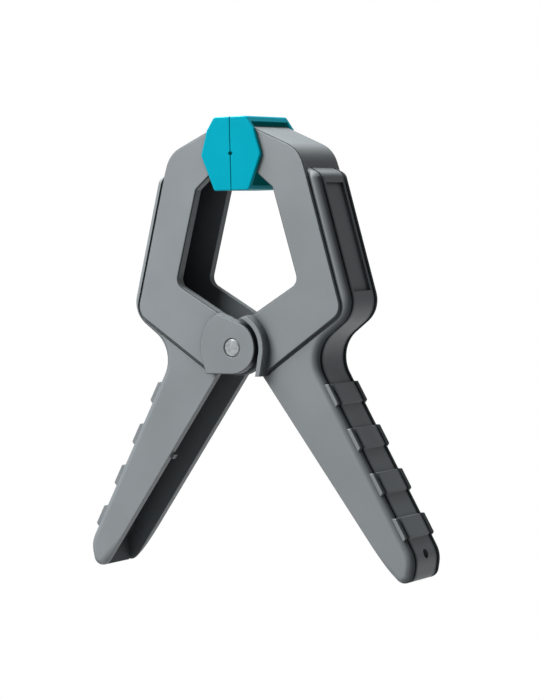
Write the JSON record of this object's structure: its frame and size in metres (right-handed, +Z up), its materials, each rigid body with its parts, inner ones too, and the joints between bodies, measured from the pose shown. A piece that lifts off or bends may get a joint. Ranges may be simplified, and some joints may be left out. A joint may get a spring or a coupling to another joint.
{
  "type": "spring clamp",
  "caption": "Hand spring clamp with moulded channel-section arms that cross at a steel pin, ribbed handles and swivel jaw pads that grip work under a torsion spring.",
  "frame": {"origin": "bottom centre of the bounding box, between the ends of the two handles", "axes": "+Z up from the handle ends to the jaws, +X across the arms towards the right arm, +Y along the pivot pin from front to back"},
  "size_m": [0.126, 0.0298, 0.1514],
  "materials": {
    "arm_plastic": "satin, fine moulded grain",
    "pin_steel": "turned end",
    "spring_steel": "drawn wire",
    "pad_plastic": "soft satin"
  },
  "bodies": {
    "left_body": {"left_arm": "arm_plastic", "pivot_pin": "pin_steel", "torsion_spring": "spring_steel"},
    "right_body": {"right_arm": "arm_plastic"},
    "left_pad_body": {"left_pad": "pad_plastic"},
    "right_pad_body": {"right_pad": "pad_plastic"}
  },
  "joints": [
    {"name": "jaw_open", "type": "hinge", "parent": "left_body", "child": "right_body", "pos_m": [0, 0, 0.07551], "axis": [0, 1, 0], "range_deg": [0, 50], "stiffness_Nm_per_rad": 0.1, "springref_deg": -17.19, "deforming": ["torsion_spring"]},
    {"name": "left_pad_swivel", "type": "hinge", "parent": "left_body", "child": "left_pad_body", "pos_m": [-0.007, 0, 0.13926], "axis": [0, 1, 0], "range_deg": [0, 25]},
    {"name": "right_pad_swivel", "type": "hinge", "parent": "right_body", "child": "right_pad_body", "pos_m": [0.007, 0, 0.13926], "axis": [0, 1, 0], "range_deg": [-25, 0]}
  ],
  "couplings": [
    {"joint": "left_pad_swivel", "follows": "jaw_open", "ratio": 0.5},
    {"joint": "right_pad_swivel", "follows": "jaw_open", "ratio": -0.5}
  ]
}
